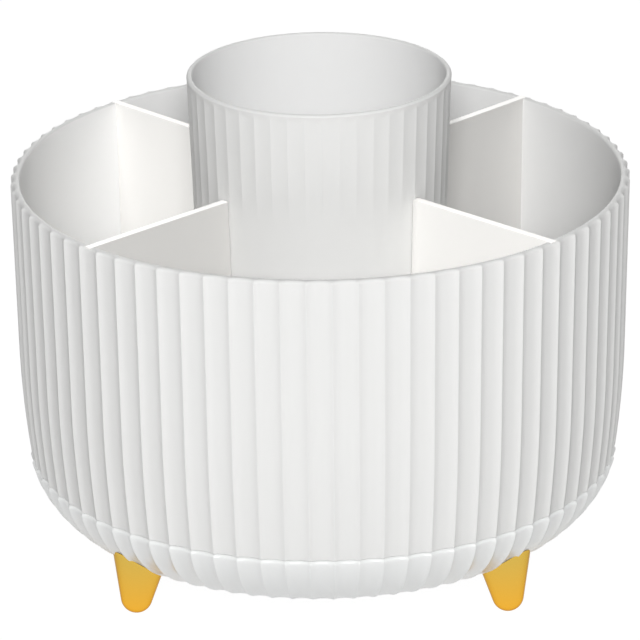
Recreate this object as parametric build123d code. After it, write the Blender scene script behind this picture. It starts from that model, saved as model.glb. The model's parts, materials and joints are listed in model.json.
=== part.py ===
from build123d import *
from math import asin, cos, degrees, radians, sin, sqrt, tan
import os

# A desk organizer that turns. A fluted drum with four dividers and a tall pen cup stands
# on a ball turntable inside a shallow fluted base, and the base stands on four gold feet.
# Millimetres. The origin is on the desk under the centre, +Z is up, -Y is the front.

# Overall form
rim_radius = 80.0
rim_height = 103.0
seam_height = 27.5
cup_rim_radius = 34.0
cup_rim_height = 129.4
underside_height = 8.4

# Side of the drum: a straight draft below the rim, then an arc that turns in to the seam
drum_draft = 0.66
drum_straight = 45.0
drum_turn_radius = 275.0

# Side of the base: part of an ellipse between the seam and the flat underside
bowl_flat_radius = 52.0
bowl_turn_height = 22.9
bowl_turn_end = 80.0
base_lip = 0.35

# Flutes: concave, with the ridges between them on the outer form
drum_flutes = 79
drum_flute_phase = 3.0
flute_depth = 0.7
cup_flutes = 48
cup_flute_phase = 1.05
cup_flute_depth = 0.2
flute_lean_limit = 0.75
cup_plain_band = 1.0

# Walls and floors
drum_wall = 1.7
drum_floor = 3.0
drum_corner = 4.0
base_wall = 2.0
base_floor = 2.2
cup_wall = 1.25
cup_floor = 2.0
cup_corner = 3.0
cup_draft = 1.8
cup_rim_round = 0.5

# Dividers: plates in upright grooves of the drum's wall, the front ones a little wider apart
divider_thickness = 2.0
wall_groove = 0.9
front_half_angle = 46.5
back_half_angle = 44.7

# Raised panels of the tray floors, which leave channels for the dividers and the cup
panel_rise = 0.6
panel_gap = 0.4

# Ball turntable: its rings lie inside the feet, and the drum rests on ribs on the upper one
ball_diameter = 5.0
ball_count = 16
race_foot_room = 9.1
race_width = 18.0
race_thickness = 3.0
ball_circle_inset = 13.0
groove_depth = 1.6
cage_band = 4.0
drum_rib_drop = 3.6
race_rib_width = 2.0
race_rib_inset = 1.0
race_screw_inset = 4.5
race_screw_count = 4
lower_race_turn = 45.0
upper_race_turn = 0.0

# Spindle in the middle
spindle_pad_rise = 4.2
spindle_pad_margin = 1.0
spindle_flange_radius = 15.0
spindle_flange_thickness = 3.0
spindle_radius = 6.0
spindle_screw_circle = 11.0
spindle_screw_count = 3
bush_wall = 2.0
bush_flange_width = 2.5
bush_flange_thickness = 1.2
hub_wall = 3.0
washer_radius = 12.0
washer_thickness = 1.2
cup_head_room = 1.0

# Feet: round-tipped cones that lean outwards
foot_tip_inset = 11.9
foot_half_turn = 45.0
foot_shift = -0.9
foot_splay = 9.0
foot_tip_radius = 4.1
foot_half_angle = 14.0
foot_length = 26.0
foot_flat_depth = 0.35
foot_pad_radius = 4.2
foot_pad_rise = 0.4

# Tabs that hold the dividers in the drum floor: one by the cup and one by the wall
tab_length = 8.0
tab_cup_offset = 16.0
tab_rim_inset = 13.0

# Lip under the drum that turns inside the base
lip_drop = 2.2
lip_width = 1.6

# Screws: shank radius, length under the head or over all, head radius and head height
small_shank = 1.5
small_head = 2.8
small_head_height = 2.2
foot_screw_length = 13.0
race_screw_length = 7.4
cup_screw_length = 8.0
spindle_screw_length = 7.2
cup_screw_circle = 21.0
cup_screw_count = 3
cup_screw_turn = 30.0
cup_boss_radius = 4.0
screw_boss_radius = 3.6
middle_shank = 2.0
middle_head = 4.5
middle_head_height = 3.0
middle_screw_length = 13.0
slot_depth = 0.8
slot_width = 0.7
slot_overhang = 0.3
head_round = 0.4

# Clearances
seam_gap = 0.4
seat_gap = 0.1
turn_gap = 0.35
bush_gap = 0.06
ball_gap = 0.05
groove_ease = 0.15
cage_gap = 0.3
pocket_gap = 0.15
head_gap = 0.8
thread_gap = 0.05
hole_gap = 0.2
tab_gap = 0.1
lip_gap = 0.8
tip_room = 0.5
fuse_bite = 0.5
cut_past = 1.0

# Sections along the lofted sides
drum_sections = 7
base_sections = 9

# Heights that follow from the sizes above, from the desk up
base_top = seam_height - seam_gap / 2
base_floor_top = underside_height + base_floor
spindle_pad_top = base_floor_top + spindle_pad_rise
flange_low = spindle_pad_top + seat_gap
flange_top = flange_low + spindle_flange_thickness
bush_low = flange_top + seat_gap + small_head_height + head_gap
hub_low = bush_low + bush_flange_thickness + seat_gap
drum_low = seam_height + seam_gap / 2
drum_floor_top = drum_low + drum_floor
upper_race_top = drum_low - drum_rib_drop - seat_gap
upper_race_low = upper_race_top - race_thickness
ball_radius = ball_diameter / 2
ball_level = upper_race_low + groove_depth - ball_gap - ball_radius
lower_race_top = ball_level - ball_radius - ball_gap + groove_depth
lower_race_low = lower_race_top - race_thickness
race_seat = lower_race_low - seat_gap
cage_low = lower_race_top + cage_gap
cage_top = upper_race_low - cage_gap
post_top = drum_floor_top + turn_gap
washer_top = post_top + seat_gap + washer_thickness
middle_screw_top = washer_top + seat_gap + middle_head_height
cup_low = drum_floor_top + seat_gap
cup_floor_low = middle_screw_top + cup_head_room
cup_floor_top = cup_floor_low + cup_floor

# Radii that follow
foot_tip_circle = rim_radius - foot_tip_inset
race_outer_radius = foot_tip_circle - race_foot_room
race_inner_radius = race_outer_radius - race_width
ball_circle_radius = race_outer_radius - ball_circle_inset
race_screw_circle = race_outer_radius - race_screw_inset
tab_circles = (cup_rim_radius + tab_cup_offset, rim_radius - tab_rim_inset)
bush_bore = spindle_radius + bush_gap
bush_radius = bush_bore + bush_wall
hub_bore = bush_radius + seat_gap
hub_radius = hub_bore + hub_wall
bowl_centre_height = underside_height + bowl_turn_height * sin(radians(bowl_turn_end))

# Azimuths of the dividers and of the feet
divider_angles = {
    "back_right": 90 - back_half_angle,
    "back_left": 90 + back_half_angle,
    "front_left": 270 - front_half_angle,
    "front_right": 270 + front_half_angle,
}
foot_angles = {
    "back_right": 90 - foot_half_turn + foot_shift,
    "back_left": 90 + foot_half_turn + foot_shift,
    "front_left": 270 - foot_half_turn + foot_shift,
    "front_right": 270 + foot_half_turn + foot_shift,
}


def polar(radius, angle, height):
    """Point at a radius, an angle in degrees and a height."""
    return (radius * cos(radians(angle)), radius * sin(radians(angle)), height)


def turned(outline):
    """Solid of revolution about Z from a closed outline with radius along X, height along Y."""
    edges = [edge for piece in outline for edge in piece.edges()]
    return revolve(Plane.XZ * Face(Wire(edges)), Axis.Z)


def turned_corners(*corners):
    """Solid of revolution from the (radius, height) corners of its outline."""
    return turned([Polyline(*corners, close=True)])


def ring(inner, outer, low, high):
    """Flat ring between two radii and two heights, or a disc when inner is 0."""
    return turned_corners((inner, low), (outer, low), (outer, high), (inner, high))


def rod(radius, low, high, spot=(0, 0)):
    """Upright cylinder between two heights over a spot (x, y)."""
    return Pos(spot[0], spot[1], (low + high) / 2) * Cylinder(radius, high - low)


def spots(circle, count, first=0.0):
    """Evenly spaced (x, y) spots on a circle."""
    return [polar(circle, first + 360 * i / count, 0)[:2] for i in range(count)]


def fluted_ring(radius, height, count, phase, depth):
    """Closed outline of concave arcs between ridges on a circle."""
    step = 360 / count
    arcs = []
    for i in range(count):
        left = phase + i * step
        start = polar(radius, left, height)
        valley = polar(radius - depth, left + step / 2, height)
        end = polar(radius, left + step, height)
        arcs.append(ThreePointArc(start, valley, end))
    return Wire(arcs)


def drum_radius(height):
    """Ridge radius of the drum: straight draft, then a tangent arc below the knee."""
    draft = radians(drum_draft)
    drop = rim_height - height
    if drop <= drum_straight:
        return rim_radius - drop * tan(draft)
    knee_radius = rim_radius - drum_straight * tan(draft)
    slope = sin(draft) + (drop - drum_straight) / drum_turn_radius
    return knee_radius - drum_turn_radius * (cos(draft) - sqrt(1 - slope**2))


def bowl_half_width():
    """Level half-axis of the base's ellipse, so that its top edge meets the drum."""
    rise = (bowl_centre_height - base_top) / bowl_turn_height
    top_radius = drum_radius(drum_low) + base_lip
    return (top_radius - bowl_flat_radius) / sqrt(1 - rise**2)


def cup_radius(height):
    """Ridge radius of the pen cup."""
    return cup_rim_radius - (cup_rim_height - height) * tan(radians(cup_draft))


def drum_inside(ease):
    """Hollow of the drum, made smaller by ease on all sides, and open past the rim."""
    inset = flute_depth + drum_wall + ease
    low = drum_floor_top + ease
    knee = rim_height - drum_straight
    top = rim_height + cut_past

    def wall(height):
        return (drum_radius(height) - inset, height)

    hollow = turned([
        Line((0, low), wall(low)),
        ThreePointArc(wall(low), wall((low + knee) / 2), wall(knee)),
        Polyline(wall(knee), wall(top), (0, top), (0, low)),
    ])
    return fillet(hollow.edges().group_by(Axis.Z)[0], drum_corner - ease)


def bowl_form(inset, floor_rise):
    """Solid of the bowl set in from the ridges, from its floor to above the seam."""
    half_width = bowl_half_width() - inset
    half_height = bowl_turn_height - floor_rise
    low_angle = radians(bowl_turn_end)
    low_radius = bowl_flat_radius + half_width * cos(low_angle)
    low = bowl_centre_height - half_height * sin(low_angle)
    wide = bowl_flat_radius + half_width
    top = rim_height
    centre = (bowl_flat_radius, bowl_centre_height)
    turn = EllipticalCenterArc(centre, half_width, half_height, -bowl_turn_end, arc_size=bowl_turn_end)
    rest = Polyline((wide, bowl_centre_height), (wide, top), (0, top), (0, low), (low_radius, low))
    return turned([turn, rest])


def bowl_inside_height(radius):
    """Height of the bowl's inner surface at a radius on its elliptical turn."""
    half_width = bowl_half_width() - flute_depth - base_wall
    half_height = bowl_turn_height - base_floor
    return bowl_centre_height - half_height * sqrt(1 - ((radius - bowl_flat_radius) / half_width) ** 2)


def tray_panels():
    """Raised floor panels of the four trays, clear of the cup, the dividers and the corner."""
    inner = cup_radius(drum_floor_top) + panel_gap
    outer = drum_radius(drum_floor_top) - flute_depth - drum_wall - drum_corner
    low = drum_floor_top - fuse_bite
    high = drum_floor_top + panel_rise
    panels = ring(inner, outer, low, high)
    channel = Box(rim_radius, divider_thickness + 2 * panel_gap, high - low + 2 * cut_past)
    for angle in divider_angles.values():
        panels -= Rot(0, 0, angle) * Pos(rim_radius / 2, 0, (low + high) / 2) * channel
    return panels


def make_drum():
    """Fluted drum with its floor panels, hub, turntable ribs, screw bosses and inner lip."""
    rings = []
    for i in range(drum_sections):
        height = drum_low + (rim_height - drum_low) * i / (drum_sections - 1)
        rings.append(fluted_ring(drum_radius(height), height, drum_flutes, drum_flute_phase, flute_depth))
    solid = Solid.make_loft(rings) - drum_inside(0) + tray_panels()

    bite = drum_low + fuse_bite
    rib_low = upper_race_top + seat_gap
    rib = race_inner_radius + race_rib_inset
    solid += ring(rib, rib + race_rib_width, rib_low, bite)
    solid += ring(race_outer_radius - race_rib_width, race_outer_radius, rib_low, bite)
    solid += ring(0, hub_radius, hub_low, bite)
    lip_outer = drum_radius(drum_low) + base_lip - flute_depth - base_wall - lip_gap
    solid += ring(lip_outer - lip_width, lip_outer, drum_low - lip_drop, bite)
    for spot in spots(race_screw_circle, race_screw_count, upper_race_turn):
        solid += rod(screw_boss_radius, rib_low, bite, spot)

    solid -= rod(hub_bore, hub_low - cut_past, drum_floor_top + cut_past)
    pilot_top = upper_race_low + race_screw_length + tip_room
    for spot in spots(race_screw_circle, race_screw_count, upper_race_turn):
        solid -= rod(small_shank + thread_gap, rib_low - cut_past, pilot_top, spot)
    for spot in spots(cup_screw_circle, cup_screw_count, cup_screw_turn):
        solid -= rod(small_shank + hole_gap, drum_low - cut_past, drum_floor_top + cut_past, spot)
    slot_height = drum_floor + 2 * cut_past
    slot = Box(tab_length + 2 * tab_gap, divider_thickness + 2 * tab_gap, slot_height)
    groove = upright_slab(divider_thickness + 2 * tab_gap, drum_floor_top, rim_height + cut_past)
    groove &= drum_inside(-wall_groove)
    for angle in divider_angles.values():
        solid -= Rot(0, 0, angle) * groove
        for radius in tab_circles:
            solid -= Rot(0, 0, angle) * Pos(radius, 0, drum_low + drum_floor / 2) * slot
    return solid


def upright_slab(thickness, low, high):
    """Slab from the axis out past the wall along +X, between two heights."""
    return Pos(rim_radius / 2, 0, (low + high) / 2) * Box(rim_radius, thickness, high - low)


def make_divider(angle):
    """Upright plate from the cup into the wall's groove, with two tabs in the floor."""
    plate = upright_slab(divider_thickness, drum_floor_top + seat_gap, rim_height)
    plate &= drum_inside(seat_gap - wall_groove)
    plate -= cup_cone(-seat_gap, drum_low, rim_height + cut_past)
    for radius in tab_circles:
        low = drum_low + seat_gap
        high = drum_floor_top + seat_gap + fuse_bite
        tab = Box(tab_length, divider_thickness, high - low)
        plate += Pos(radius, 0, (low + high) / 2) * tab
    return Rot(0, 0, angle) * plate


def cup_cone(inset, low, high):
    """Solid cone with the cup's draft, set in from its ridges, between two heights."""
    return turned_corners(
        (0, low),
        (cup_radius(low) - inset, low),
        (cup_radius(high) - inset, high),
        (0, high),
    )


def make_cup():
    """Tall pen cup: fluted outside under a plain rim band, smooth inside, hollow below."""
    band_low = cup_rim_height - cup_plain_band
    rings = []
    for height in (cup_low, band_low):
        radius = cup_radius(height)
        rings.append(fluted_ring(radius, height, cup_flutes, cup_flute_phase, cup_flute_depth))
    solid = Solid.make_loft(rings, True)
    solid += cup_cone(0, band_low, cup_rim_height)
    inset = cup_flute_depth + cup_wall
    inside = cup_cone(inset, cup_floor_top, cup_rim_height + cut_past)
    solid -= fillet(inside.edges().group_by(Axis.Z)[0], cup_corner)
    solid -= cup_cone(inset, cup_low - cut_past, cup_floor_low)
    solid = fillet(solid.edges().group_by(Axis.Z)[-1], cup_rim_round)
    pilot_top = drum_low + cup_screw_length + tip_room
    for spot in spots(cup_screw_circle, cup_screw_count, cup_screw_turn):
        solid += rod(cup_boss_radius, cup_low, cup_floor_low + fuse_bite, spot)
    for spot in spots(cup_screw_circle, cup_screw_count, cup_screw_turn):
        solid -= rod(small_shank + thread_gap, cup_low - cut_past, pilot_top, spot)
    return solid


def make_base():
    """Fluted base bowl with turntable ribs, screw bosses, spindle pad and foot pads."""
    top_angle = degrees(asin((bowl_centre_height - base_top) / bowl_turn_height))
    rings = []
    for i in range(base_sections):
        angle = radians(bowl_turn_end + (top_angle - bowl_turn_end) * i / (base_sections - 1))
        radius = bowl_flat_radius + bowl_half_width() * cos(angle)
        height = bowl_centre_height - bowl_turn_height * sin(angle)
        depth = flute_depth * radius / rim_radius / max(cos(angle), flute_lean_limit)
        rings.append(fluted_ring(radius, height, drum_flutes, drum_flute_phase, depth))
    solid = Solid.make_loft(rings) - bowl_form(flute_depth + base_wall, base_floor)

    bite = base_floor_top - fuse_bite
    rib = race_inner_radius + race_rib_inset
    fittings = ring(rib, rib + race_rib_width, bite, race_seat)
    fittings += ring(race_outer_radius - race_rib_width, race_outer_radius, bite, race_seat)
    fittings += ring(0, spindle_flange_radius + spindle_pad_margin, bite, spindle_pad_top)
    for spot in spots(race_screw_circle, race_screw_count, lower_race_turn):
        fittings += rod(screw_boss_radius, bite, race_seat, spot)
    for angle in foot_angles.values():
        fittings += foot_place(angle) * rod(foot_pad_radius, 0, foot_seat)
    solid += fittings & bowl_form(flute_depth + base_wall - fuse_bite, base_floor - fuse_bite)

    pilot_low = lower_race_top - race_screw_length - tip_room
    for spot in spots(race_screw_circle, race_screw_count, lower_race_turn):
        solid -= rod(small_shank + thread_gap, pilot_low, race_seat + cut_past, spot)
    pilot_low = flange_top - spindle_screw_length - tip_room
    for spot in spots(spindle_screw_circle, spindle_screw_count):
        solid -= rod(small_shank + thread_gap, pilot_low, spindle_pad_top + cut_past, spot)
    for angle in foot_angles.values():
        solid -= foot_place(angle) * rod(small_shank + hole_gap, 0, foot_seat + cut_past)
    return solid


def foot_place(angle):
    """Where a foot stands: its tip on the desk, its axis leaning in towards the top."""
    tip = polar(foot_tip_circle, angle, -foot_flat_depth)
    return Pos(*tip) * Rot(0, 0, angle) * Rot(0, -foot_splay, 0)


def foot_seat_length():
    """Length up a foot's axis at which its pad stands clear of the bowl's inside."""
    splay = radians(foot_splay)
    length = base_floor_top
    for _ in range(12):
        edge = foot_tip_circle - length * sin(splay) + foot_pad_radius * cos(splay)
        rise = bowl_inside_height(edge) + foot_flat_depth - foot_pad_radius * sin(splay)
        length = rise / cos(splay)
    return length + foot_pad_rise


foot_seat = foot_seat_length()


def make_foot():
    """Round-tipped cone at the front left, flat on the desk and cut to the base's underside."""
    angle = foot_angles["front_left"]
    slope = radians(foot_half_angle)
    touch_radius = foot_tip_radius * cos(slope)
    touch_height = foot_tip_radius * (1 - sin(slope))
    middle = radians((90 - foot_half_angle) / 2)
    touch = (touch_radius, touch_height)
    arc_middle = (foot_tip_radius * sin(middle), foot_tip_radius * (1 - cos(middle)))
    top = (touch_radius + (foot_length - touch_height) * tan(slope), foot_length)
    cone = foot_place(angle) * turned([
        ThreePointArc((0, 0), arc_middle, touch),
        Polyline(touch, top, (0, foot_length), (0, 0)),
    ])
    cone -= bowl_form(-seat_gap, -seat_gap)
    cone &= ring(0, rim_radius * 2, 0, foot_length * 2)
    hole_low = foot_seat - foot_screw_length - tip_room
    cone -= foot_place(angle) * rod(small_shank + thread_gap, hole_low, foot_seat)
    return cone


def drive_slot(head_radius, top):
    """Cross cut into the top of a screw head."""
    arm = Box(head_radius + slot_overhang, slot_width, slot_depth * 2)
    return Pos(0, 0, top) * (arm + Rot(0, 0, 90) * arm)


def pan_screw(shank, length, head, head_height):
    """Screw with a domed head above Z 0 and its shank below."""
    top = Cylinder(head, head_height, align=(Align.CENTER, Align.CENTER, Align.MIN))
    top = fillet(top.edges().sort_by(Axis.Z)[-1], head_height * head_round)
    body = top + rod(shank, -length, fuse_bite)
    return body - drive_slot(head, head_height)


def flat_screw(shank, length, head):
    """Countersunk screw with the top of its head at Z 0."""
    head_height = head - shank
    body = turned_corners((0, -length), (shank, -length), (shank, -head_height), (head, 0), (0, 0))
    return body - drive_slot(head, 0)


def make_race(low, ball_side, first):
    """Turntable ring with a ball groove, and countersunk screw holes on the ball side."""
    high = low + race_thickness
    solid = ring(race_inner_radius, race_outer_radius, low, high)
    groove_radius = ball_radius + groove_ease
    shift = ball_side * (groove_ease - ball_gap)
    solid -= Pos(0, 0, ball_level + shift) * Torus(ball_circle_radius, groove_radius)
    face = high if ball_side > 0 else low
    sink = small_head + hole_gap
    hole = small_shank + hole_gap
    past = race_thickness + cut_past
    cutter = turned_corners(
        (0, -past),
        (hole, -past),
        (hole, hole - sink),
        (sink, 0),
        (sink, cut_past),
        (0, cut_past),
    )
    flip = 0 if ball_side > 0 else 180
    for x, y in spots(race_screw_circle, race_screw_count, first):
        solid -= Pos(x, y, face) * Rot(flip, 0, 0) * cutter
    return solid


def make_race_screws(face, flip, first):
    """The flat screws of one turntable ring."""
    screw = flat_screw(small_shank, race_screw_length, small_head)
    places = spots(race_screw_circle, race_screw_count, first)
    return Compound([Pos(x, y, face) * Rot(flip, 0, 0) * screw for x, y in places])


def make_cage():
    """Flat ring with a round pocket for each ball."""
    inner = ball_circle_radius - cage_band
    outer = ball_circle_radius + cage_band
    solid = ring(inner, outer, cage_low, cage_top)
    for spot in spots(ball_circle_radius, ball_count):
        solid -= rod(ball_radius + pocket_gap, cage_low - cut_past, cage_top + cut_past, spot)
    return solid


def make_balls():
    """The turntable's steel balls."""
    return Compound([Pos(x, y, ball_level) * Sphere(ball_radius)
                     for x, y in spots(ball_circle_radius, ball_count)])


def make_spindle():
    """Flanged post that the drum turns on."""
    solid = ring(0, spindle_flange_radius, flange_low, flange_top)
    solid += rod(spindle_radius, flange_low, post_top)
    for spot in spots(spindle_screw_circle, spindle_screw_count):
        solid -= rod(small_shank + hole_gap, flange_low - cut_past, flange_top + cut_past, spot)
    pilot_low = washer_top + seat_gap - middle_screw_length - tip_room
    solid -= rod(middle_shank + thread_gap, pilot_low, post_top + cut_past)
    return solid


def make_bush():
    """Flanged plastic bush in the drum's hub."""
    sleeve = ring(bush_bore, bush_radius, bush_low, drum_floor_top - seat_gap)
    flange_radius = bush_radius + bush_flange_width
    return sleeve + ring(bush_bore, flange_radius, bush_low, bush_low + bush_flange_thickness)


def screws_at(places, height, flip, screw):
    """Copies of one screw, with the underside of each head at a height."""
    return Compound([Pos(x, y, height) * Rot(flip, 0, 0) * screw for x, y in places])


small_foot_screw = pan_screw(small_shank, foot_screw_length, small_head, small_head_height)
small_cup_screw = pan_screw(small_shank, cup_screw_length - seat_gap, small_head, small_head_height)
flange_screw = pan_screw(small_shank, spindle_screw_length, small_head, small_head_height)
middle_screw = pan_screw(middle_shank, middle_screw_length, middle_head, middle_head_height)

nodes = {
    "base_shell": make_base(),
    "foot_screws": Compound([foot_place(angle) * Pos(0, 0, foot_seat + seat_gap) * small_foot_screw
                             for angle in foot_angles.values()]),
    "lower_race": make_race(lower_race_low, 1, lower_race_turn),
    "lower_race_screws": make_race_screws(lower_race_top, 0, lower_race_turn),
    "spindle": make_spindle(),
    "spindle_screws": screws_at(spots(spindle_screw_circle, spindle_screw_count),
                                flange_top + seat_gap, 0, flange_screw),
    "retaining_washer": ring(middle_shank + hole_gap, washer_radius, post_top + seat_gap, washer_top),
    "retaining_screw": Pos(0, 0, washer_top + seat_gap) * middle_screw,
    "ball_cage": make_cage(),
    "bearing_balls": make_balls(),
    "drum": make_drum(),
    "hub_bush": make_bush(),
    "upper_race": make_race(upper_race_low, -1, upper_race_turn),
    "upper_race_screws": make_race_screws(upper_race_low, 180, upper_race_turn),
    "pen_cup": make_cup(),
    "pen_cup_screws": screws_at(spots(cup_screw_circle, cup_screw_count, cup_screw_turn),
                                drum_low - seat_gap, 180, small_cup_screw),
}
front_left_foot = make_foot()
for name, angle in foot_angles.items():
    nodes["foot_" + name] = Rot(0, 0, angle - foot_angles["front_left"]) * front_left_foot
for name, angle in divider_angles.items():
    nodes["divider_" + name] = make_divider(angle)

os.makedirs("parts", exist_ok=True)
for name, shape in nodes.items():
    export_step(shape, "parts/" + name + ".step")
    print(name, round(shape.volume, 1))
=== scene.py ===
# %% [markdown]
# # A fluted desk organizer that turns
# The construction of this organizer is made already: every piece has its true size and
# place, and the drum turns on a ball turntable inside the base. This lesson dresses it.
# The pieces that show get smooth fluted walls, rounded rims and soft edges, and every
# piece gets a finish. Nothing that the construction fixed is moved.

# %% Load the construction
import json
from math import asin, cos, pi, radians, sin, sqrt, tan

import bpy
import numpy as np
from mathutils import Matrix, Vector


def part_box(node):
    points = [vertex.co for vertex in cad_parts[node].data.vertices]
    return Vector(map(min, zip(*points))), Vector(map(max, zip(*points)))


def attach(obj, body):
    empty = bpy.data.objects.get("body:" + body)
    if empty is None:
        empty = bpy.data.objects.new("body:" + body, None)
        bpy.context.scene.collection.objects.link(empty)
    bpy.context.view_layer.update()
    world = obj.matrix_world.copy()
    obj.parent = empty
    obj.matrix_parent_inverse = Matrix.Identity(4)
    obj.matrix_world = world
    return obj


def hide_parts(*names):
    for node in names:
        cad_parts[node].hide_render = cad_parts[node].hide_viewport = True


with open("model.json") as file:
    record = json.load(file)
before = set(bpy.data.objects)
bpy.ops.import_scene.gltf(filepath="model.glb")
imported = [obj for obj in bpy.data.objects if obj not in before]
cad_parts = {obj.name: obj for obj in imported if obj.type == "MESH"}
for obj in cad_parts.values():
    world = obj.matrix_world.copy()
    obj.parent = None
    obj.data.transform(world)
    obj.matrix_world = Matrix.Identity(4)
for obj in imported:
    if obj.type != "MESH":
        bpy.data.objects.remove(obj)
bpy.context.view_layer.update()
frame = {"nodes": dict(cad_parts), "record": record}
print("pieces in the construction:", len(frame["nodes"]))

# %% [markdown]
# ## Sizes
# A moulded part is drawn in millimetres, so the shapes below are too, and one factor turns
# them into metres when a mesh is made. What the construction can tell, such as a rim's
# height, is read from it. The rest are the few sizes that its own drawing starts from.
# Pieces that sit on each other stand a tenth of a millimetre apart.

# %% Sizes read from the construction
MM = 0.001
seat_gap = 0.1
bush_flange = 1.2


def node_low(name):
    """Lowest height of a piece of the construction, in millimetres."""
    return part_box(name)[0].z / MM


def node_high(name):
    """Highest point of a piece of the construction, in millimetres."""
    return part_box(name)[1].z / MM


rim_height = node_high("drum")
cup_rim_height = node_high("pen_cup")
cup_low = node_low("pen_cup")
base_top = node_high("base_shell")
underside_height = node_low("base_shell")
tab_low = node_low("divider_front_left")
race_seat = node_low("lower_race") - seat_gap
pad_top = node_low("spindle") - seat_gap
rib_low = node_high("upper_race") + seat_gap
hub_low = node_low("hub_bush") + bush_flange + seat_gap
print("rim", round(rim_height, 2), "cup", round(cup_rim_height, 2), "base top", round(base_top, 2))

# %% Sizes of the outside
rim_radius = 80.0
cup_rim_radius = 34.0
drum_draft = radians(0.66)
drum_straight = 45.0
drum_turn_radius = 275.0
drum_low = 27.7
bowl_flat_radius = 52.0
bowl_turn_height = 22.9
bowl_turn_end = radians(80)
base_lip = 0.35
cup_draft = radians(1.8)

# %% Sizes of the walls and floors
drum_wall = 1.7
drum_floor_top = 30.7
drum_corner = 4.0
base_wall = 2.0
base_floor = 2.2
cup_wall = 1.25
cup_floor_low = 36.45
cup_floor_top = 38.45
cup_corner = 3.0
divider_thickness = 2.0
wall_groove = 0.9
panel_rise = 0.6
panel_gap = 0.4

# %% [markdown]
# ## The walls as formulas
# The drum leaves the rim with a slight draft, so that it comes out of its mould, and then
# turns in along a large arc. The base carries that line on along part of an ellipse. Each
# formula takes a whole array of heights or angles and gives a whole array of radii.

# %% Radii of the drum, the base and the cup
def drum_radius(height):
    """Radius of the drum's ridges: a straight draft, then a tangent arc that turns inwards."""
    drop = rim_height - np.asarray(height, float)
    straight = rim_radius - drop * tan(drum_draft)
    knee = rim_radius - drum_straight * tan(drum_draft)
    slope = sin(drum_draft) + (drop - drum_straight) / drum_turn_radius
    arc = knee - drum_turn_radius * (cos(drum_draft) - np.sqrt(1 - slope**2))
    return np.where(drop <= drum_straight, straight, arc)


bowl_centre_height = underside_height + bowl_turn_height * sin(bowl_turn_end)
bowl_top_rise = (bowl_centre_height - base_top) / bowl_turn_height
drum_foot_radius = float(drum_radius(drum_low))
bowl_top_radius = drum_foot_radius + base_lip
bowl_half_width = (bowl_top_radius - bowl_flat_radius) / sqrt(1 - bowl_top_rise**2)


def bowl_point(angle, inset=0.0, floor_rise=0.0):
    """Radius and height on the base's ellipse, an angle down from level, set in if asked."""
    radius = bowl_flat_radius + (bowl_half_width - inset) * np.cos(angle)
    height = bowl_centre_height - (bowl_turn_height - floor_rise) * np.sin(angle)
    return radius, height


def bowl_height(radius, inset=0.0, floor_rise=0.0):
    """Height of the same ellipse at a radius, and of its flat middle inside that."""
    reach = (np.asarray(radius, float) - bowl_flat_radius) / (bowl_half_width - inset)
    fall = np.minimum(np.sqrt(1 - np.clip(reach, 0, 1) ** 2), sin(bowl_turn_end))
    return bowl_centre_height - (bowl_turn_height - floor_rise) * fall


def cup_radius(height):
    """Radius of the pen cup's ridges, a cone with a slight draft."""
    return cup_rim_radius - (cup_rim_height - np.asarray(height, float)) * tan(cup_draft)


print("drum at its foot", round(drum_foot_radius, 2), "base half width", round(bowl_half_width, 2))

# %% [markdown]
# ## Flutes
# A flute is a shallow groove of round section. Side by side they leave narrow ridges, which
# a mould never makes knife sharp. The distance from the nearest ridge, softened there by a
# square root, gives the depth: full in the middle of a flute, and less by a power of the
# distance from it. The power says how full the groove is. With 2 the groove is a parabola,
# as on the cup. The drum's are fuller, with a flatter middle and steeper sides, which draws
# thin dark lines beside the ridges. The surface turns fastest there, so the columns of points
# crowd towards the ridges and stand wider apart in the middle of a flute. A picture in a bump
# map would leave the rims smooth in outline, so the flutes are real shape.

# %% Depth of a flute
drum_flutes = 79
drum_flute_phase = radians(3.0)
flute_depth = 0.7
drum_flute_fullness = 2.7
cup_flutes = 48
cup_flute_phase = radians(1.05)
cup_flute_depth = 0.2
cup_flute_fullness = 2.0
flute_lean_limit = 0.75
ridge_round = 0.03
ridge_crowding = 1.6
steps_per_flute = 16
cup_steps_per_flute = 20


def flute_share(azimuth, count, phase, fullness):
    """Share of the full depth at an azimuth: 0 on a ridge, 1 in the middle of a flute.

    It is 1 less a power of the distance from the middle, which is 1 on the ridge.
    """
    turn = (azimuth - phase) * count / (2 * pi)
    off_ridge = 1 - np.abs(2 * (turn % 1) - 1)
    soft = np.sqrt(off_ridge**2 + ridge_round**2) - ridge_round
    soft = soft / (sqrt(1 + ridge_round**2) - ridge_round)
    return 1 - np.clip(1 - soft, 0, 1) ** fullness


def azimuths(count, steps, phase):
    """Azimuth of every column of a fluted wall: one on each ridge, and closer beside it.

    From a ridge to halfway between two ridges is 1, and even steps are raised to a power.
    """
    even = 2 * np.arange(steps) / steps
    past_middle = 2 - (2 - even) ** ridge_crowding
    within = np.where(even <= 1, even**ridge_crowding, past_middle) / 2
    return (phase + (np.arange(count)[:, None] + within) * 2 * pi / count).ravel()


print("one drum flute is", round(2 * pi * rim_radius / drum_flutes, 2), "mm wide")

# %% [markdown]
# ## Turning a profile into a shell
# Each moulded shell is one closed profile carried round the axis. The profile is a list of
# rows with a radius, a height and a flute depth. It runs up the outside, over the rim and
# down the inside, so every face points outwards. Where it meets the axis, the whole row
# becomes one point. Making the shell as one surface leaves no seam to close afterwards.
# An attribute can mark the inside of such a shell, whose colour is painted whiter there as painted
# light.

# %% Rows of a profile
def rows(radius, height, depth=0.0):
    """Profile rows from arrays or single values of radius, height and flute depth."""
    radius, height, depth = np.broadcast_arrays(
        *(np.atleast_1d(np.asarray(value, float)) for value in (radius, height, depth))
    )
    return np.stack([radius, height, depth], axis=1)


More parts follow.
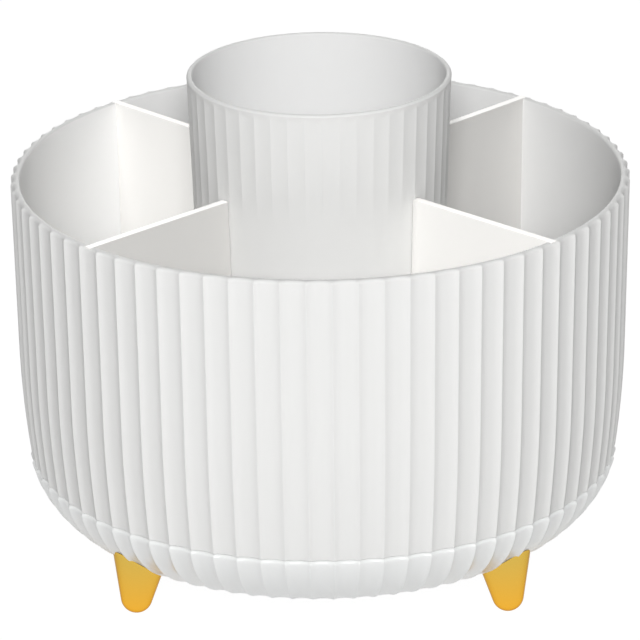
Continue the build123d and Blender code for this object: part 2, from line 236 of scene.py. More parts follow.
def bend(centre_radius, centre_height, size, start, end, steps, depth=0.0):
    """Rows along an arc of the profile, from one angle to another in degrees."""
    angle = np.radians(np.linspace(start, end, steps))
    radius = centre_radius + size * np.cos(angle)
    return rows(radius, centre_height + size * np.sin(angle), depth)


def round_top(outer, inner, top, depth=0.0):
    """Rows over the top of a wall, from its outer edge to its inner edge.

    Each edge is given as its radius, the size of its rounding and the number of its rows.
    """
    outer_radius, outer_round, outer_rows = outer
    inner_radius, inner_round, inner_rows = inner
    return np.concatenate([
        bend(outer_radius - outer_round, top - outer_round, outer_round, 0, 90, outer_rows, depth),
        bend(inner_radius + inner_round, top - inner_round, inner_round, 90, 180, inner_rows),
    ])


# %% Faces of a grid
def grid_faces(row_count, column_count, close_rows=False, close_columns=False):
    """Corner numbers of the faces of a grid whose points are numbered row by row."""
    row = np.arange(row_count - (not close_rows))[:, None]
    column = np.arange(column_count - (not close_columns))[None, :]
    next_row = (row + 1) % row_count
    next_column = (column + 1) % column_count
    corners = [
        row * column_count + column,
        row * column_count + next_column,
        next_row * column_count + next_column,
        next_row * column_count + column,
    ]
    return np.stack(corners, axis=-1).reshape(-1, 4)


def cap_ends(grid, first_point, last_point):
    """Points and faces of a grid closed round, each of its ends drawn together in one point."""
    row_count, count = grid.shape[:2]
    points = np.concatenate([grid.reshape(-1, 3), [first_point, last_point]])
    first, last = np.full(count, len(points) - 2), np.full(count, len(points) - 1)
    column = np.arange(count)
    after = (column + 1) % count
    last_row = (row_count - 1) * count
    faces = grid_faces(row_count, count, False, True).tolist()
    faces += np.stack([first, after, column], axis=1).tolist()
    faces += np.stack([last, last_row + column, last_row + after], axis=1).tolist()
    return points, faces


def new_piece(name, points, faces, sharp_angle=35):
    """Object at the origin from points in millimetres and lists of corners, shaded smooth."""
    mesh = bpy.data.meshes.new(name)
    mesh.from_pydata(np.asarray(points, float).reshape(-1, 3) * MM, [], faces)
    mesh.validate()
    mesh.shade_smooth()
    mesh.set_sharp_from_angle(angle=radians(sharp_angle))
    piece = bpy.data.objects.new(name, mesh)
    bpy.context.scene.collection.objects.link(piece)
    return piece


# %% Carry a profile round the axis
def turn_shell(name, profile, angles, share, on_axis):
    """Fluted shell: at each azimuth a row's radius is less by its depth times the share.

    share is one value for each azimuth, or a grid with a line for each row.
    on_axis is true when the profile starts and ends on the axis.
    """
    radius = profile[:, 0:1] - profile[:, 2:3] * share
    height = np.broadcast_to(profile[:, 1:2], radius.shape)
    grid = np.stack([radius * np.cos(angles), radius * np.sin(angles), height], axis=-1)
    if on_axis:
        return new_piece(name, *cap_ends(grid[1:-1], grid[0, 0], grid[-1, 0]))
    return new_piece(name, grid, grid_faces(len(profile), len(angles), True, True).tolist())


# The mark of the inside says where a finish paints its colour whiter, as painted light.
def mark_inside(piece, outside, wall, top):
    """Attribute that is 1 below the top and further in than the outside radius less the wall."""
    points = np.empty(3 * len(piece.data.vertices))
    piece.data.vertices.foreach_get("co", points)
    x, y, z = points.reshape(-1, 3).T / MM
    inside = (np.hypot(x, y) < outside(z) - wall) & (z < top)
    attribute = piece.data.attributes.new("inside", "FLOAT", "POINT")
    attribute.data.foreach_set("value", inside.astype(np.float32))


def report(piece):
    """Prints how many triangles a piece has and how large it is."""
    evaluated = piece.evaluated_get(bpy.context.evaluated_depsgraph_get())
    mesh = evaluated.to_mesh()
    triangles = sum(len(face.vertices) - 2 for face in mesh.polygons)
    size = [round(value / MM, 1) for value in evaluated.dimensions]
    evaluated.to_mesh_clear()
    print(piece.name, triangles, "triangles,", size, "mm")


# %% [markdown]
# ## The drum
# The drum is a white fluted shell with its own floor. Its rim is about as thick as the wall
# and rounded on both edges, and the rounding follows every flute. Under the floor are the
# hub, the ribs that sit on the turntable and a lip that keeps dust out of the seam. Drum
# and base both reach a little into the gap between them, so the seam is a fine line.

# %% Profile of the drum
rim_outer_round = 0.9
rim_inner_round = 0.6
foot_round = 0.25
seam_closing = 0.13
drum_foot = drum_low - seam_closing
hub_bore, hub_radius = 8.16, 11.16
rib_edges = (42.0, 44.0, 57.0, 59.0)
lip_drop, lip_width, lip_gap = 2.2, 1.6, 0.8

wall_heights = np.linspace(drum_foot + foot_round, rim_height - rim_outer_round, 18)[1:-1]
inner_heights = np.linspace(rim_height - rim_inner_round, drum_floor_top + drum_corner, 14)[1:-1]
inset = flute_depth + drum_wall
corner_radius = float(drum_radius(drum_floor_top + drum_corner)) - inset - drum_corner
lip_outer = bowl_top_radius - flute_depth - base_wall - lip_gap
rib_rows = np.concatenate([
    rows([low, low, high, high], [drum_low, rib_low, rib_low, drum_low])
    for low, high in (rib_edges[0:2], rib_edges[2:4])
])
drum_profile = np.concatenate([
    bend(
        drum_foot_radius - foot_round, drum_foot + foot_round, foot_round, -90, 0, 4, flute_depth
    ),
    rows(drum_radius(wall_heights), wall_heights, flute_depth),
    round_top(
        (rim_radius, rim_outer_round, 7),
        (rim_radius - inset, rim_inner_round, 6),
        rim_height,
        flute_depth,
    ),
    rows(drum_radius(inner_heights) - inset, inner_heights),
    bend(corner_radius, drum_floor_top + drum_corner, drum_corner, 0, -90, 9),
    rows([corner_radius / 2, hub_bore], drum_floor_top),
    rows([hub_bore, hub_radius, hub_radius], [hub_low, hub_low, drum_low]),
    rib_rows,
    rows([lip_outer - lip_width, lip_outer - lip_width], [drum_low, drum_low - lip_drop]),
    rows([lip_outer, lip_outer], [drum_low - lip_drop, drum_low]),
])
drum_azimuths = azimuths(drum_flutes, steps_per_flute, drum_flute_phase)
drum_share = flute_share(drum_azimuths, drum_flutes, drum_flute_phase, drum_flute_fullness)
drum = turn_shell("fluted_drum", drum_profile, drum_azimuths, drum_share, False)
mark_inside(drum, drum_radius, flute_depth + drum_wall / 2, rim_height - rim_inner_round / 2)
report(drum)

# %% [markdown]
# ## The floor of the trays
# Each tray has a slightly raised floor panel, and the channels between the panels hold the
# lower edges of the dividers. A flat sheet of points is enough for such a plate: the
# Solidify modifier gives it its thickness and Bevel takes the sharpness off its edges.

# %% Plates from sheets
def plate(name, points, faces, thickness, offset, edge):
    """Plate from a sheet: thickness to one side or both, and rounded edges."""
    piece = new_piece(name, points, faces)
    solid = piece.modifiers.new("thickness", "SOLIDIFY")
    solid.thickness = thickness * MM
    solid.offset = offset
    soft = piece.modifiers.new("soft edges", "BEVEL")
    soft.width = edge * MM
    soft.segments = 4
    soft.limit_method = "ANGLE"
    soft.angle_limit = radians(50)
    soft.harden_normals = True
    return piece


# %% Four floor panels
panel_inner = float(cup_radius(drum_floor_top)) + panel_gap
panel_outer = float(drum_radius(drum_floor_top)) - inset - drum_corner
panel_edge = 0.25
panel_sink = 0.3
panel_rows, panel_columns = 12, 40
divider_azimuths = {
    "back_right": radians(45.3),
    "back_left": radians(134.7),
    "front_left": radians(223.5),
    "front_right": radians(316.5),
}


def panel_points(start, end):
    """Sheet of one tray's floor: radii by angles, with its sides parallel to the dividers."""
    radius = np.linspace(panel_inner, panel_outer, panel_rows)[:, None]
    half_span = (end - start) / 2 - np.arcsin((divider_thickness / 2 + panel_gap) / radius)
    angle = (start + end) / 2 + half_span * np.linspace(-1, 1, panel_columns)[None, :]
    height = np.full(angle.shape, drum_floor_top + panel_rise)
    return np.stack([radius * np.cos(angle), radius * np.sin(angle), height], axis=-1)


starts = list(divider_azimuths.values())
ends = starts[1:] + [starts[0] + 2 * pi]
panel_sheets = np.concatenate([panel_points(*span).reshape(-1, 3) for span in zip(starts, ends)])
one_panel = grid_faces(panel_rows, panel_columns)
panel_size = panel_rows * panel_columns
panel_faces = np.concatenate([one_panel + i * panel_size for i in range(len(starts))]).tolist()
panel_thickness = panel_rise + panel_sink
tray_floor = plate("tray_floor_panels", panel_sheets, panel_faces, panel_thickness, -1, panel_edge)
mark_inside(tray_floor, drum_radius, inset, rim_height)
report(tray_floor)

# %% [markdown]
# ## The base
# The base is a shallow bowl. Its flutes carry on from the drum's across the seam and run
# round under it, so their depth is measured square to the surface: where the wall leans
# over, the same depth takes more of the radius. Its upper edge is rounded and stands a
# third of a millimetre proud, which draws the bright broken line under the seam.

# %% Profile of the base
lip_round = 0.9
base_inner_round = 0.4
pad_radius = 16.0
lip_top = base_top + seam_closing
base_floor_top = underside_height + base_floor
base_inset = flute_depth + base_wall

lip_angle = asin((bowl_centre_height - lip_top + lip_round) / bowl_turn_height)
bowl_angles = np.linspace(bowl_turn_end, lip_angle, 26)
bowl_radii, bowl_heights = bowl_point(bowl_angles)
bowl_lean = np.maximum(np.cos(bowl_angles), flute_lean_limit)
bowl_depths = flute_depth * bowl_radii / rim_radius / bowl_lean
inner_turn_height = bowl_turn_height - base_floor
inner_top = asin((bowl_centre_height - lip_top + base_inner_round) / inner_turn_height)
rib_reach = (rib_edges[3] - bowl_flat_radius) / (bowl_half_width - base_inset)
inner_angles = np.linspace(inner_top, np.arccos(rib_reach), 14)
inner_radii, inner_side = bowl_point(inner_angles, base_inset, base_floor)
lip_radius = float(bowl_radii[-1])
inner_radius = float(inner_radii[0])
floor_edge = bowl_flat_radius + (bowl_half_width - base_inset) * cos(bowl_turn_end)
rib_foot = float(bowl_height(rib_edges[2], base_inset, base_floor))
base_profile = np.concatenate([
    rows([0.0, bowl_flat_radius / 2], underside_height),
    rows(bowl_radii, bowl_heights, bowl_depths),
    round_top(
        (lip_radius, lip_round, 7), (inner_radius, base_inner_round, 5), lip_top, flute_depth
    )[1:],
    rows(inner_radii, inner_side)[1:],
    rows([rib_edges[3], rib_edges[2], rib_edges[2]], [race_seat, race_seat, rib_foot]),
    rows([floor_edge, rib_edges[1]], base_floor_top),
    rows([rib_edges[1], rib_edges[0], rib_edges[0]], [race_seat, race_seat, base_floor_top]),
    rows([pad_radius, pad_radius, 0.0], [base_floor_top, pad_top, pad_top]),
])
base = turn_shell("fluted_base", base_profile, drum_azimuths, drum_share, True)
report(base)

# %% [markdown]
# ## The pen cup
# The cup's flutes start softly under a plain rounded rim. In the tray at the front they run
# out level with the drum's rim, and the wall below is smooth. So the share of the depth is
# a grid here: it fades by height, and at the front by azimuth as well.

# %% Where the cup's flutes fade
def ease(value):
    """Smooth step from 0 to 1, level at both ends."""
    value = np.clip(value, 0, 1)
    return value**2 * (3 - 2 * value)


band_low, band_fade = 0.75, 1.6
smooth_low, smooth_high = 99.0, 108.0
front_half_span = pi / 4
front_azimuth = -pi / 2
side_fade = radians(4)


def cup_share(height, azimuth):
    """Share of the cup's flute depth: none in the rim band and low down at the front."""
    below_rim = ease((cup_rim_height - band_low - height) / band_fade)
    off_front = np.abs((azimuth - front_azimuth + pi) % (2 * pi) - pi)
    at_side = ease((off_front - front_half_span + side_fade / 2) / side_fade)
    high_up = ease((height - smooth_low) / (smooth_high - smooth_low))
    share = flute_share(azimuth, cup_flutes, cup_flute_phase, cup_flute_fullness)
    return share * below_rim * np.maximum(high_up, at_side)


# %% Profile of the cup
cup_rim_outer, cup_rim_inner = 0.7, 0.5
cup_inset = cup_flute_depth + cup_wall
cup_inner_top = cup_rim_height - cup_rim_inner
cup_inner_low = cup_floor_top + cup_corner
fade_high = cup_rim_height - band_low
fade_low = fade_high - band_fade
cup_heights = np.concatenate([
    np.linspace(cup_low + foot_round, smooth_low, 8)[1:-1],
    np.linspace(smooth_low, smooth_high, 8),
    np.linspace(smooth_high, fade_low, 5)[1:],
    np.linspace(fade_low, fade_high, 6)[1:],
])
cup_inner_heights = np.linspace(cup_inner_top, cup_inner_low, 12)[1:-1]
cup_foot_radius = float(cup_radius(cup_low))
cup_corner_radius = float(cup_radius(cup_inner_low)) - cup_inset - cup_corner
hollow_radius = float(cup_radius(cup_floor_low)) - cup_inset
cup_profile = np.concatenate([
    rows([0.0, hollow_radius / 2, hollow_radius], cup_floor_low),
    rows(cup_foot_radius - cup_inset, cup_low),
    bend(
        cup_foot_radius - foot_round, cup_low + foot_round, foot_round, -90, 0, 4, cup_flute_depth
    ),
    rows(cup_radius(cup_heights), cup_heights, cup_flute_depth),
    round_top(
        (cup_rim_radius, cup_rim_outer, 8),
        (cup_rim_radius - cup_inset, cup_rim_inner, 7),
        cup_rim_height,
    ),
    rows(cup_radius(cup_inner_heights) - cup_inset, cup_inner_heights),
    bend(cup_corner_radius, cup_inner_low, cup_corner, 0, -90, 9),
    rows([cup_corner_radius / 2, 0.0], cup_floor_top),
])
cup_azimuths = azimuths(cup_flutes, cup_steps_per_flute, cup_flute_phase)
cup_shares = cup_share(cup_profile[:, 1:2], cup_azimuths[None, :])
pen_cup = turn_shell("fluted_pen_cup", cup_profile, cup_azimuths, cup_shares, True)
cup_mark_top = cup_rim_height - cup_rim_inner / 2
mark_inside(pen_cup, cup_radius, cup_flute_depth + cup_wall / 2, cup_mark_top)
report(pen_cup)

# %% [markdown]
# ## The dividers
# A divider is a flat plate that stands between the cup and the drum's wall, with two tabs
# in the floor. Its sheet is a grid between two curved ends: the cup's slope on one side,
# the drum's wall and corner on the other. The rows below the floor keep only the faces of
# the tabs, so plate and tabs are one piece. Its outer edge ends just inside the wall, where
# the rounded corners of the plate leave a fine line. At the top it runs on through the rim.

# %% Sheet of a divider
tab_length = 8.0
tab_circles = (50.0, 67.0)
divider_edge = 0.45
plate_corner = drum_corner + wall_groove - seat_gap
plate_reach = 0.75
plate_hold = 0.25
crown = 1.6
crown_step = 0.05
plate_stand = 0.02


def divider_ends(height):
    """Inner and outer radius of a divider at a height; its top runs through the rim."""
    height = np.maximum(np.asarray(height, float), drum_floor_top + seat_gap)
    over_floor = np.clip(height - drum_floor_top + wall_groove - seat_gap, 0, plate_corner)
    corner = plate_corner - np.sqrt(plate_corner**2 - (plate_corner - over_floor) ** 2)
    wall = drum_radius(np.maximum(height, drum_floor_top + drum_corner)) - inset + wall_groove
    reach = np.where(height > rim_height - crown, plate_reach, plate_hold - wall_groove + seat_gap)
    return cup_radius(height) + seat_gap, wall - corner - seat_gap + reach


def divider_sheet(azimuth):
    """Points and faces of the sheet: rows by height, columns from the cup to the wall."""
    foot = drum_floor_top + seat_gap
    start, end = divider_ends(foot)
    half_tab = tab_length / 2
    tab_edges = [circle + side for circle in tab_circles for side in (-half_tab, half_tab)]
    marks = [start, *tab_edges, end]
    spans = [np.linspace(a, b, 4)[:-1] for a, b in zip(marks[:-1], marks[1:])]
    across = np.concatenate([*spans, [end]])
    share = (across - start) / (end - start)
    corner_rows = foot + (drum_corner - seat_gap) * (1 - np.cos(np.linspace(0, pi / 2, 7)))
    wall_rows = np.linspace(corner_rows[-1], rim_height - crown, 9)[1:]
    top_rows = [rim_height - crown + crown_step, rim_height + plate_stand]
    heights = np.concatenate([[tab_low], corner_rows, wall_rows, top_rows])
    inner, outer = divider_ends(heights)
    radius = inner[:, None] + (outer - inner)[:, None] * share
    height = np.broadcast_to(heights[:, None], radius.shape)
    points = np.stack([radius * cos(azimuth), radius * sin(azimuth), height], axis=-1)
    faces = grid_faces(len(heights), len(share)).reshape(len(heights) - 1, len(share) - 1, 4)
    middle = (across[:-1] + across[1:]) / 2
    on_tab = np.any([np.abs(middle - circle) < half_tab for circle in tab_circles], axis=0)
    kept = np.concatenate([faces[0][on_tab], faces[1:].reshape(-1, 4)])
    used, numbers = np.unique(kept, return_inverse=True)
    return points.reshape(-1, 3)[used], numbers.reshape(kept.shape).tolist()


# %% Four dividers
dividers = {}
for place, azimuth in divider_azimuths.items():
    name = "divider_plate_" + place
    dividers[place] = plate(name, *divider_sheet(azimuth), divider_thickness, 0, divider_edge)
report(dividers["front_left"])

# %% [markdown]
# ## The feet
# A foot is a cone with a round tip that leans outwards, cut off level with the desk and
# fitted to the underside of the base. For each direction round the foot's own axis, the
# cone's side is followed up until it meets the bowl, by halving the range again and again
# for all directions at once. The cone runs on as deep as a flute is, so that the edge that
# shows is the wavy line where it meets the flutes, with no gap above it.

# %% Surface of a foot
foot_tip_circle = 68.1
foot_splay = radians(9)
foot_tip_radius = 4.1
foot_half_angle = radians(14)
foot_flat_depth = 0.35
foot_bury = 0.45
foot_steps = 72
foot_halvings = 40
foot_tip_length = foot_tip_radius * (1 - sin(foot_half_angle))
foot_longest = 4 * foot_tip_radius + foot_tip_circle / 4


def foot_side(length, round_foot):
    """Points on the cone's side, a length up the axis, in every direction round it."""
    rise = (length - foot_tip_length) * tan(foot_half_angle)
    size = foot_tip_radius * cos(foot_half_angle) + rise
    return np.stack([size * np.cos(round_foot), size * np.sin(round_foot), length], axis=-1)


def foot_place(azimuth):
    """Matrix that leans a foot and stands it on its circle."""
    tip = (foot_tip_circle * cos(azimuth), foot_tip_circle * sin(azimuth), -foot_flat_depth)
    lean = Matrix.Rotation(azimuth, 4, "Z") @ Matrix.Rotation(-foot_splay, 4, "Y")
    return np.array(Matrix.Translation(tip) @ lean)


def placed(points, place):
    """Points carried from a foot's own axes to where it stands."""
    return points @ place[:3, :3].T + place[:3, 3]


def under_bowl(points):
    """Height over each point of the base's ellipse, set in as deep as a flute."""
    return bowl_height(np.hypot(points[..., 0], points[..., 1]), foot_bury, foot_bury)


def make_foot(name, azimuth):
    """Foot as rows from the tip up the side and then in over its top."""
    place = foot_place(azimuth)
    turn = np.arange(foot_steps) * 2 * pi / foot_steps
    low = np.full(foot_steps, foot_tip_radius)
    high = np.full(foot_steps, foot_longest)
    for _ in range(foot_halvings):
        middle = (low + high) / 2
        points = placed(foot_side(middle, turn), place)
        inside = points[:, 2] < under_bowl(points)
        low, high = np.where(inside, middle, low), np.where(inside, high, middle)
    tip_angles = np.linspace(0, pi / 2 - foot_half_angle, 14)[1:, None]
    tip = np.stack([
        foot_tip_radius * np.sin(tip_angles) * np.cos(turn),
        foot_tip_radius * np.sin(tip_angles) * np.sin(turn),
        foot_tip_radius * (1 - np.cos(tip_angles)) + 0 * turn,
    ], axis=-1)
    lengths = foot_tip_length + (low - foot_tip_length) * np.linspace(0, 1, 12)[1:, None]
    side = foot_side(lengths, np.broadcast_to(turn, lengths.shape))
    outside = placed(np.concatenate([tip, side]), place)
    edge, centre = outside[-1], outside[-1].mean(axis=0)
    top = edge + (centre - edge) * np.array([0.25, 0.5, 0.75])[:, None, None]
    top[..., 2] = under_bowl(top)
    centre[2] = under_bowl(centre)
    points, faces = cap_ends(np.concatenate([outside, top]), placed(np.zeros(3), place), centre)
    points[:, 2] = np.maximum(points[:, 2], 0)
    return new_piece(name, points, faces)


foot_azimuths = {
    "back_right": radians(44.1),
    "back_left": radians(134.1),
    "front_left": radians(224.1),
    "front_right": radians(314.1),
}
feet = {}
for place, azimuth in foot_azimuths.items():
    feet[place] = make_foot("cone_foot_" + place, azimuth)
report(feet["front_left"])

# %% [markdown]
# ## One finish for everything moulded
# Moulded plastic is never quite even: its surface waves a little where it shrank, it has a
# very fine grain from the mould, and its gloss varies. Every finish here shares these, so
# they are a node group with values of its own in each material. The group gives only a
# colour, a roughness and a normal, and the shader stays in each material.

# %% Helpers for node trees
def add(tree, kind, **values):
    """New node in a tree, with its settings and its inputs' values."""
    node = tree.nodes.new(kind)
    for key, value in values.items():
        if key in node.inputs:
            node.inputs[key].default_value = value
        else:
            setattr(node, key, value)
    return node


def join(tree, *pairs):
    """Links each pair of a node's output and another node's input."""
    for output, socket in pairs:
        tree.links.new(output, socket)


def calculate(tree, operation, *values):
    """Result of a math node, whose values are numbers or the outputs of other nodes."""
    node = add(tree, "ShaderNodeMath", operation=operation)
    for socket, value in zip(node.inputs, values):
        if isinstance(value, float):
            socket.default_value = value
        else:
            tree.links.new(value, socket)
    return node.outputs[0]


def noise(tree, coordinates, scale, detail):
    """Noise texture on the object's own coordinates, which are metres."""
    node = add(tree, "ShaderNodeTexNoise", Scale=scale, Detail=detail)
    tree.links.new(coordinates.outputs["Object"], node.inputs["Vector"])
    return node.outputs["Fac"]


# %% The moulded surface
def moulded_group():
    """Group: colour with a faint mottle, roughness that varies, and a waved, grained normal.

    The colour's value is 1 plus the mottle times a noise less a half. The roughness is the
    given one plus the gloss change times a noise.
    """
    group = bpy.data.node_groups.new("moulded surface", "ShaderNodeTree")
    face = group.interface
    for name, kind, value in (
        ("Colour", "NodeSocketColor", (0.8, 0.8, 0.8, 1)),
        ("Mottle", "NodeSocketFloat", 0.02),
        ("Roughness", "NodeSocketFloat", 0.4),
        ("Gloss change", "NodeSocketFloat", 0.05),
        ("Wave size", "NodeSocketFloat", 60.0),
        ("Wave depth", "NodeSocketFloat", 0.00005),
        ("Grain size", "NodeSocketFloat", 2500.0),
        ("Grain depth", "NodeSocketFloat", 0.000004),
    ):
        face.new_socket(name, in_out="INPUT", socket_type=kind).default_value = value
    for name, kind in (
        ("Color", "NodeSocketColor"),
        ("Roughness", "NodeSocketFloat"),
        ("Normal", "NodeSocketVector"),
    ):
        face.new_socket(name, in_out="OUTPUT", socket_type=kind)
    source = add(group, "NodeGroupInput")
    result = add(group, "NodeGroupOutput")
    place = add(group, "ShaderNodeTexCoord")
    given = {socket.name: socket for socket in source.outputs}

    cloud = noise(group, place, scale=25.0, detail=3.0)
    mottle = calculate(group, "MULTIPLY_ADD", cloud, given["Mottle"], 1.0)
    value = calculate(group, "MULTIPLY_ADD", given["Mottle"], -0.5, mottle)
    shade = add(group, "ShaderNodeHueSaturation")
    join(group, (given["Colour"], shade.inputs["Color"]), (value, shade.inputs["Value"]))

    patch = noise(group, place, scale=90.0, detail=2.0)
    gloss = calculate(group, "MULTIPLY_ADD", patch, given["Gloss change"], given["Roughness"])

    previous = None
    for size, depth in (("Wave size", "Wave depth"), ("Grain size", "Grain depth")):
        field = add(group, "ShaderNodeTexNoise", Detail=1.0)
        bump = add(group, "ShaderNodeBump")
        join(
            group,
            (place.outputs["Object"], field.inputs["Vector"]),
            (given[size], field.inputs["Scale"]),
            (field.outputs["Fac"], bump.inputs["Height"]),
            (given[depth], bump.inputs["Distance"]),
        )
        if previous:
            join(group, (previous, bump.inputs["Normal"]))
        previous = bump.outputs["Normal"]
    join(
        group,
        (shade.outputs["Color"], result.inputs["Color"]),
        (gloss, result.inputs["Roughness"]),
        (previous, result.inputs["Normal"]),
    )
    return group


moulded = moulded_group()

# %% [markdown]
# ## Finishes
# The shells are a satin white plastic with hardly any gloss, so their walls shade softly.
# The base comes from a polished mould: a thin clear coat lets it pick up the white floor.
# Inside a tray or the cup the colour is painted whiter, blended in by the mark of the
# inside: painted light that stands in for more light bounced from wall to wall. The plates
# are a warmer white. What turns inside is a duller bearing plastic and zinc plated steel.
# The feet are plated gold, deeper at the tip; towards the top their colour is painted
# paler, a painted reflection of the shaded underside of the base above them.

# %% Materials
coat_roughness = 0.3
moulded_white = (0.86, 0.86, 0.85)


def new_finish(
    name, colour, roughness, metallic=0.0, level=0.5, edge=(1, 1, 1), coat=0.0, **values
):
    """Material whose colour, roughness and normal come from the moulded surface group."""
    material = bpy.data.materials.new(name)
    material.use_nodes = True
    tree = material.node_tree
    shader = tree.nodes["Principled BSDF"]
    shader.inputs["Metallic"].default_value = metallic
    shader.inputs["Specular IOR Level"].default_value = level
    shader.inputs["Specular Tint"].default_value = (*edge, 1)
    shader.inputs["Coat Weight"].default_value = coat
    shader.inputs["Coat Roughness"].default_value = coat_roughness
    surface = add(tree, "ShaderNodeGroup", node_tree=moulded)
    surface.inputs["Colour"].default_value = (*colour, 1)
    surface.inputs["Roughness"].default_value = roughness
    for key, value in values.items():
        surface.inputs[key.replace("_", " ")].default_value = value
    join(
        tree,
        (surface.outputs["Color"], shader.inputs["Base Color"]),
        (surface.outputs["Roughness"], shader.inputs["Roughness"]),
        (surface.outputs["Normal"], shader.inputs["Normal"]),
    )
    return material


def blend_colour(material, share, other):
    """Takes a finish from its own colour to another one as a share goes from 0 to 1.

    A mix node keeps its two colours at inputs 6 and 7, and their mixture at output 2.
    """
    tree = material.node_tree
    colour = tree.nodes["Group"].inputs["Colour"]
    blend = add(tree, "ShaderNodeMix", data_type="RGBA")
    start, end, blended = blend.inputs[6], blend.inputs[7], blend.outputs[2]
    start.default_value = colour.default_value
    end.default_value = (*other, 1)
    join(tree, (share, blend.inputs[0]), (blended, colour))


def blend_painted_light_inside(material, other):
    """Blends in another colour by the attribute that marks the inside of a shell; here a whiter
    one, as painted light.
    """
    mask = add(material.node_tree, "ShaderNodeAttribute", attribute_name="inside")
    blend_colour(material, mask.outputs["Fac"], other)


def blend_height(material, low, high, other):
    """Blends in another colour from one height to a higher one, both in millimetres."""
    tree = material.node_tree
    place = add(tree, "ShaderNodeTexCoord")
    split = add(tree, "ShaderNodeSeparateXYZ")
    share = add(tree, "ShaderNodeMapRange", **{"From Min": low * MM, "From Max": high * MM})
    join(
        tree,
        (place.outputs["Object"], split.inputs[0]),
        (split.outputs["Z"], share.inputs["Value"]),
    )
    blend_colour(material, share.outputs["Result"], other)


white_shell = new_finish("satin white", moulded_white, 0.4, level=0.02)
# Painted light: the inside of the drum and all of the tray floor are painted whiter.
blend_painted_light_inside(white_shell, (0.95, 0.95, 0.945))
white_cup = new_finish("cup white", moulded_white, 0.4, level=0.02)
# Painted light: the inside of the cup is painted whiter.
blend_painted_light_inside(white_cup, (0.93, 0.93, 0.925))
white_base = new_finish("polished white", (0.88, 0.89, 0.885), 0.3, coat=0.3)
white_insert = new_finish("plate white", (0.765, 0.755, 0.735), 0.5, level=0.04)
gold_plate = new_finish(
    "gold plating", (0.86, 0.45, 0.045), 0.2, metallic=1.0, edge=(0.6, 0.5, 0.45), Grain_depth=0.0
)
# Painted reflection: the gold is painted paler and a little darker towards the top, where it
# reflects the base's shaded underside.
blend_height(gold_plate, 2.0, 16.0, (0.69, 0.46, 0.085))
bearing_plastic = new_finish("bearing plastic", (0.78, 0.78, 0.76), 0.5)
zinc_steel = new_finish("zinc plated steel", (0.62, 0.63, 0.65), 0.35, metallic=1.0)
slot_finishes = {
    "white_shell": white_shell,
    "white_insert": white_insert,
    "gold_plate": gold_plate,
    "turntable_plastic": bearing_plastic,
    "steel": zinc_steel,
}

# %% Dress the pieces and let them ride
def dress(piece, material, slot, body, *nodes):
    """Gives a piece its material and its body, and hides the nodes that it stands for. The slot is
    not used.
    """
    piece.data.materials.clear()
    piece.data.materials.append(material)
    if nodes:
        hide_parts(*nodes)
    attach(piece, body)


dress(drum, white_shell, "white_shell", "carousel", "drum")
dress(tray_floor, white_shell, "white_shell", "carousel")
dress(base, white_base, "white_shell", "base", "base_shell")
dress(pen_cup, white_cup, "white_shell", "carousel", "pen_cup")
for place in divider_azimuths:
    dress(dividers[place], white_insert, "white_insert", "carousel", "divider_" + place)
    dress(feet[place], gold_plate, "gold_plate", "base", "foot_" + place)

# %% Dress what stays of the construction
slot_of = {row["node"]: row["material_slot"] for row in frame["record"]["subparts"]}
for name, node in frame["nodes"].items():
    for holder in node.material_slots:
        holder.link = "OBJECT"
        holder.material = slot_finishes[slot_of[name]]

# %% [markdown]
# ## Light
# The organizer stands in soft light from the front: walls that face the camera are
# brightest and they fall off evenly to both sides. That is one large lamp, in front and
# above the camera so that the front wall casts no shadow on the cup where it shows. Around
# it the surroundings light the organizer a little, and more from overhead than from the
# horizon, like a ceiling: that reaches down into the deep trays. A weaker lamp behind
# lights the walls of the trays that face away from the camera. The dividers have a third
# lamp to the left, which light linking keeps to them alone: it tells a plate that faces it
# from one that faces away, and the round walls stay even on both sides. The background is
# white only to the camera and to reflections, so it adds no light of its own.

# %% Surroundings
ambient_low = 0.15
ambient_rise = 0.30


def white_world():
    """World that looks white and lights by the low level plus the rise times height squared."""
    world = bpy.data.worlds.new("studio")
    world.use_nodes = True
    tree = world.node_tree
    tree.nodes.clear()
    ray = add(tree, "ShaderNodeLightPath").outputs
    place = add(tree, "ShaderNodeTexCoord")
    split = add(tree, "ShaderNodeSeparateXYZ")
    join(tree, (place.outputs["Generated"], split.inputs[0]))
    above = calculate(tree, "MAXIMUM", split.outputs["Z"], 0.0)
    square = calculate(tree, "POWER", above, 2.0)
    level = calculate(tree, "MULTIPLY_ADD", square, ambient_rise, ambient_low)
    light = add(tree, "ShaderNodeBackground", Color=(1, 1, 1, 1))
    look = add(tree, "ShaderNodeBackground", Color=(1, 1, 1, 1), Strength=1.0)
    seen = calculate(tree, "MAXIMUM", ray["Is Camera Ray"], ray["Is Glossy Ray"])
    seen = calculate(tree, "MAXIMUM", seen, ray["Is Transmission Ray"])
    mix = add(tree, "ShaderNodeMixShader")
    end = add(tree, "ShaderNodeOutputWorld")
    join(
        tree,
        (level, light.inputs["Strength"]),
        (seen, mix.inputs[0]),
        (light.outputs[0], mix.inputs[1]),
        (look.outputs[0], mix.inputs[2]),
        (mix.outputs[0], end.inputs["Surface"]),
    )
    return world


bpy.context.scene.world = white_world()

# %% Lamps
lamp_aim = (0.0, 0.0, 0.06)


def soft_lamp(name, place, size, power):
    """Square lamp at a place in metres, turned to the organizer, that no camera ray sees."""
    data = bpy.data.lights.new(name, "AREA")
    data.shape = "SQUARE"
    data.size = size
    data.energy = power
    lamp = bpy.data.objects.new(name, data)
    bpy.context.scene.collection.objects.link(lamp)
    lamp.location = place
    direction = Vector(lamp_aim) - Vector(place)
    lamp.rotation_euler = direction.to_track_quat("-Z", "Y").to_euler()
    lamp.visible_camera = False
    return lamp


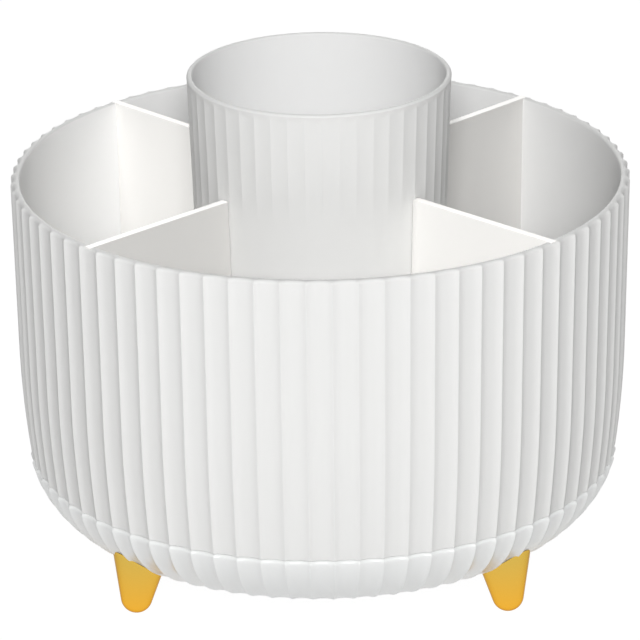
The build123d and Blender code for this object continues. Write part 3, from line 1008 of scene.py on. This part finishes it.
soft_lamp("front", (0.0, -1.59, 0.87), size=0.4, power=20.2)
soft_lamp("rear", (0.0, 1.85, 0.5), size=0.8, power=10.0)
plate_lamp = soft_lamp("plates", (-0.43, -0.43, 1.1), size=0.3, power=10.8)
lit_plates = bpy.data.collections.new("lit plates")
for plate_piece in dividers.values():
    lit_plates.objects.link(plate_piece)
plate_lamp.light_linking.receiver_collection = lit_plates

# %% [markdown]
# ## The floor
# The desk is a large sheet. Nine tenths of what the camera and reflections see of it is
# plain white, and the last tenth is paint that takes light and shadow, which keeps the
# faint shadow round the feet. To all other light it is pale paint, so it throws light back
# up under the base as a white desk does.

# %% Floor
floor_reach = 6.0
floor_paint = 0.72
floor_glow = 1.08
floor_white_share = 0.9


def white_floor():
    """Large floor that looks white, keeps the shadow and bounces light like pale paint."""
    mesh = bpy.data.meshes.new("floor")
    low, high = -floor_reach, floor_reach
    corners = [(low, low, 0), (high, low, 0), (high, high, 0), (low, high, 0)]
    mesh.from_pydata(corners, [], [(0, 1, 2, 3)])
    floor = bpy.data.objects.new("floor", mesh)
    bpy.context.scene.collection.objects.link(floor)
    material = bpy.data.materials.new("floor white")
    material.use_nodes = True
    tree = material.node_tree
    tree.nodes.clear()
    ray = add(tree, "ShaderNodeLightPath").outputs
    paint = add(tree, "ShaderNodeBsdfDiffuse", Color=(floor_paint, floor_paint, floor_paint, 1))
    glow = add(tree, "ShaderNodeEmission", Color=(1, 1, 1, 1), Strength=floor_glow)
    seen = calculate(tree, "MAXIMUM", ray["Is Camera Ray"], ray["Is Glossy Ray"])
    share = calculate(tree, "MULTIPLY", seen, floor_white_share)
    mix = add(tree, "ShaderNodeMixShader")
    end = add(tree, "ShaderNodeOutputMaterial")
    join(
        tree,
        (share, mix.inputs[0]),
        (paint.outputs[0], mix.inputs[1]),
        (glow.outputs[0], mix.inputs[2]),
        (mix.outputs[0], end.inputs["Surface"]),
    )
    mesh.materials.append(material)
    return floor


white_floor()

# %% [markdown]
# ## Camera
# A long lens from a metre away, a little over 20 degrees above the desk, shows the whole
# organizer with little perspective. The camera is rolled by two thirds of a degree. Its
# distance, and how far under the rim it aims, are given as ratios to the rim's radius.

# %% Camera
distance_ratio = 13
aim_ratio = 0.5267
camera_elevation = radians(22.10)
camera_distance = distance_ratio * rim_radius * MM
aim_height = (rim_height - aim_ratio * rim_radius) * MM
camera_roll = radians(-0.668)
sensor_width = 36.0
focal_length = 222.63
sideways_shift = -0.0029

camera_data = bpy.data.cameras.new("camera")
camera_data.sensor_width = sensor_width
camera_data.lens = focal_length
camera_data.shift_x = sideways_shift
camera = bpy.data.objects.new("camera", camera_data)
bpy.context.scene.collection.objects.link(camera)
behind = Vector((0, -cos(camera_elevation), sin(camera_elevation)))
camera.location = Vector((0, 0, aim_height)) + behind * camera_distance
level = Matrix.Rotation(pi / 2 - camera_elevation, 4, "X")
camera.rotation_euler = (level @ Matrix.Rotation(camera_roll, 4, "Z")).to_euler()
bpy.context.scene.camera = camera
bpy.context.scene.view_settings.view_transform = "Standard"
